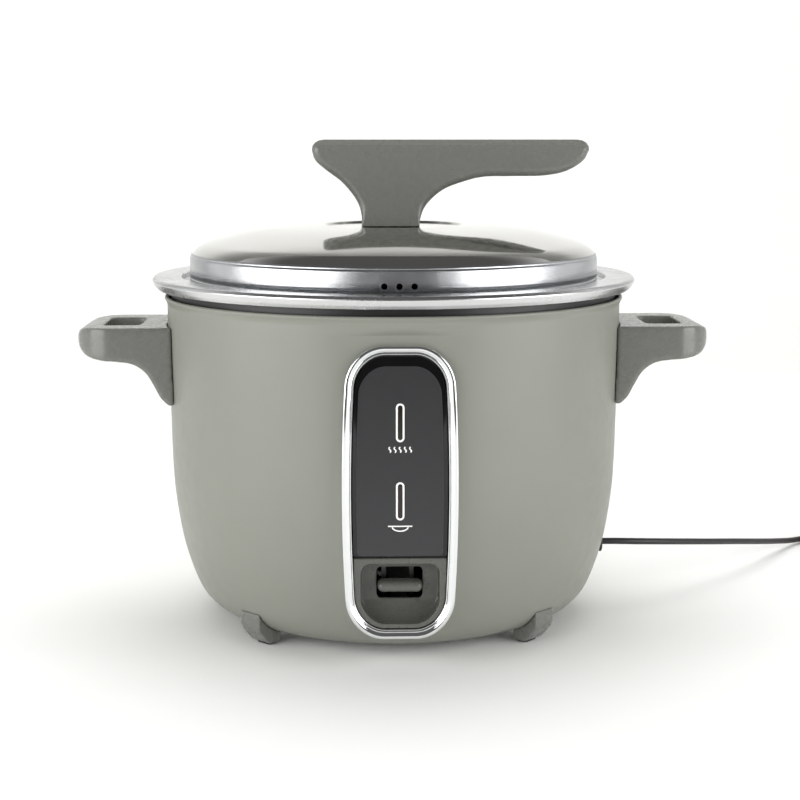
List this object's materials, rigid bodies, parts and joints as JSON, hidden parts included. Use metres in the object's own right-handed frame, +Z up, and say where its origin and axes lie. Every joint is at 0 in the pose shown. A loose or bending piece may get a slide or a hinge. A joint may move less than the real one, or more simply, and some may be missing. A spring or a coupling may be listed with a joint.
{
  "type": "rice cooker",
  "caption": "Electric rice cooker with a round metal casing, lift-out pot, lift-off polished lid with an off-centre bar handle, cook lever, side grips and a coiled mains lead.",
  "frame": {"origin": "on the surface the cooker stands on, under the middle of its round body", "axes": "+Z up, the control panel faces -Y, the lid handle's long arm and the mains lead are on the +X side"},
  "size_m": [0.6043, 0.3366, 0.3115],
  "materials": {
    "painted_casing": "grey-beige metallic paint, satin clear coat",
    "grey_plastic": "fine moulded texture",
    "rubber_pads": "matt",
    "chrome_frame": "mirror bright plating",
    "gloss_black_panel": "gloss, with a satin face",
    "dark_plastic": "fine moulded texture",
    "warm_lens": "dark tinted lens",
    "cook_lens": "dark tinted lens",
    "polished_lid": "mirror polished stainless steel",
    "satin_pot": "spun and satin finished",
    "cast_heater": "cast, with a turned face",
    "plated_steel": "zinc plated sheet and wire",
    "ferrite": "sintered, matt",
    "white_ceramic": "glazed",
    "circuit_board": "phenolic board",
    "brown_wire": "extruded insulation",
    "blue_wire": "extruded insulation",
    "black_cord": "extruded, satin",
    "plug_pins": "nickel plated brass"
  },
  "bodies": {
    "root": {"base_plate": "plated_steel", "base_screw_1": "plated_steel", "base_screw_2": "plated_steel", "base_screw_3": "plated_steel", "chrome_bezel": "chrome_frame", "cook_lens": "cook_lens", "cord_coil": "black_cord", "cord_gland": "black_cord", "display_panel": "gloss_black_panel", "foot_front_left": "grey_plastic", "foot_front_right": "grey_plastic", "foot_pad_front_left": "rubber_pads", "foot_pad_front_right": "rubber_pads", "foot_pad_rear_left": "rubber_pads", "foot_pad_rear_right": "rubber_pads", "foot_rear_left": "grey_plastic", "foot_rear_right": "grey_plastic", "heating_plate": "cast_heater", "inner_liner": "plated_steel", "keep_warm_thermostat": "dark_plastic", "lamp_board": "circuit_board", "lever_bracket": "plated_steel", "lever_pivot_pin": "plated_steel", "live_wire": "brown_wire", "magnet_spring": "plated_steel", "microswitch": "dark_plastic", "neutral_wire": "blue_wire", "outer_casing": "painted_casing", "plug_body": "black_cord", "plug_pin_left": "plug_pins", "plug_pin_right": "plug_pins", "power_cord": "black_cord", "side_handle_left": "grey_plastic", "side_handle_left_screw_front": "plated_steel", "side_handle_left_screw_rear": "plated_steel", "side_handle_right": "grey_plastic", "side_handle_right_screw_front": "plated_steel", "side_handle_right_screw_rear": "plated_steel", "switch_bracket": "plated_steel", "switch_housing": "dark_plastic", "terminal_block": "white_ceramic", "thermal_fuse": "white_ceramic", "thermostat_sleeve": "plated_steel", "thermostat_spring": "plated_steel", "top_ring": "dark_plastic", "warm_lens": "warm_lens"},
    "pot": {"inner_pot": "satin_pot"},
    "lid": {"lid_shell": "polished_lid", "lid_handle": "grey_plastic", "lid_handle_screw": "plated_steel", "lid_washer": "plated_steel"},
    "lever": {"lever_paddle": "grey_plastic", "lever_arm": "plated_steel"},
    "magnet": {"permanent_magnet": "ferrite", "magnet_rod": "plated_steel"},
    "thermostat": {"thermostat_cap": "satin_pot", "ferrite_core": "ferrite"},
    "switch_plunger": {"microswitch_button": "white_ceramic"}
  },
  "joints": [
    {"name": "pot_lift", "type": "slide", "parent": "root", "child": "pot", "axis": [0, 0, 1], "range_m": [0, 0.16]},
    {"name": "lid_lift", "type": "slide", "parent": "pot", "child": "lid", "axis": [0, 0, 1], "range_m": [0, 0.12]},
    {"name": "cook_lever", "type": "hinge", "parent": "root", "child": "lever", "pos_m": [0, -0.062, 0.044], "axis": [1, 0, 0], "range_deg": [0, 5.2], "stiffness_Nm_per_rad": 0.5, "springref_deg": -14.32},
    {"name": "magnet_slide", "type": "slide", "parent": "root", "child": "magnet", "axis": [0, 0, 1], "range_m": [0, 0.006], "deforming": ["magnet_spring"]},
    {"name": "thermostat_slide", "type": "slide", "parent": "root", "child": "thermostat", "axis": [0, 0, 1], "range_m": [0, 0.004], "deforming": ["thermostat_spring"]},
    {"name": "switch_plunger_slide", "type": "slide", "parent": "root", "child": "switch_plunger", "axis": [0, 0, -1], "range_m": [0, 0.004]}
  ],
  "couplings": [
    {"joint": "magnet_slide", "follows": "cook_lever", "m_per_rad": 0.062},
    {"joint": "switch_plunger_slide", "follows": "cook_lever", "m_per_rad": 0.04},
    {"joint": "thermostat_slide", "follows": "pot_lift", "ratio": 0.021875}
  ]
}
